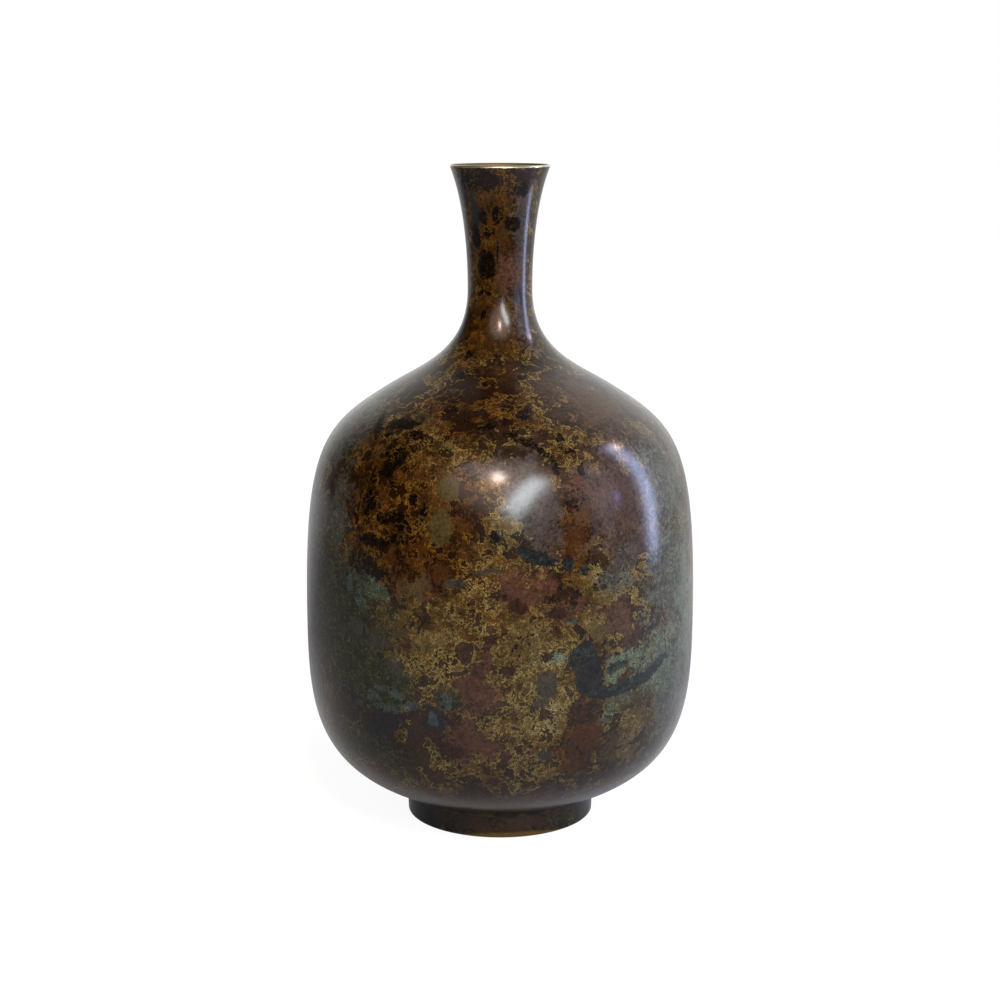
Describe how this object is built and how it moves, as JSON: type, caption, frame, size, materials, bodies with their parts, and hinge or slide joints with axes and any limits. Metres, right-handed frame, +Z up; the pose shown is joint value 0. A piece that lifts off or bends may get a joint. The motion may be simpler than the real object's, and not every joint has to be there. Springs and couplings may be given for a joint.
{
  "type": "vase",
  "caption": "Bottle-shaped cast bronze flower vase: a full rounded belly, a slim neck with a flared mouth, and a low foot ring.",
  "frame": {"origin": "centre of the foot ring, on the surface that the vase stands on", "axes": "+Z up along the axis of the vase, from the foot to the mouth"},
  "size_m": [0.1428, 0.1428, 0.24],
  "materials": {
    "patinated_bronze": "waxed brown and ochre patina over cast bronze",
    "braze": "dull, patinated with the bronze",
    "soft_solder": "dull grey"
  },
  "bodies": {
    "root": {"belly": "patinated_bronze", "neck": "patinated_bronze", "foot_ring": "patinated_bronze", "base_plate": "patinated_bronze", "base_plate_solder": "soft_solder", "foot_braze": "braze", "neck_braze": "braze"}
  },
  "joints": []
}
